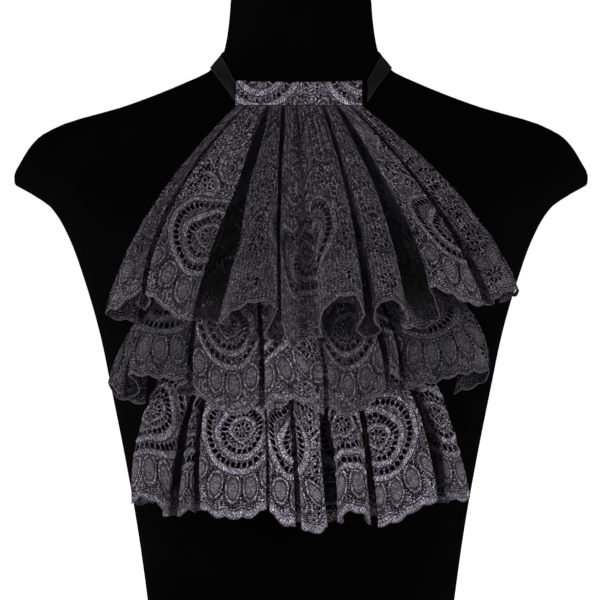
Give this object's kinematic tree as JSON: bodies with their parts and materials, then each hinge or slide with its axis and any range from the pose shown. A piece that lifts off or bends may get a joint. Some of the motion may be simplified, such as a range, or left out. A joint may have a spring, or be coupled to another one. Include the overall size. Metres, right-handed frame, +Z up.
{
  "type": "lace jabot on a dress form",
  "caption": "Gathered lace jabot in tiers, on a neck band tied with satin ribbon, worn by a limbless dress form that stands on its flat base.",
  "frame": {"origin": "middle of the dress form's flat base", "axes": "+Z up, -Y out of the chest towards the viewer, +X towards the viewer's right"},
  "size_m": [0.447, 0.2646, 0.504],
  "materials": {
    "form_cloth": "matt black jersey cover",
    "plain_cotton": "matt black plain weave",
    "black_lace": "soft black lace with a slight sheen on the braid",
    "black_satin": "black satin ribbon",
    "fastener_nylon": "black hook and loop nylon"
  },
  "bodies": {
    "root": {"dress_form": "form_cloth", "backing_panel": "plain_cotton", "tier_top": "black_lace", "tier_middle": "black_lace", "tier_bottom": "black_lace", "neck_band": "black_lace", "ribbon_left": "black_satin", "ribbon_right": "black_satin", "nape_fastener": "fastener_nylon"}
  },
  "joints": []
}
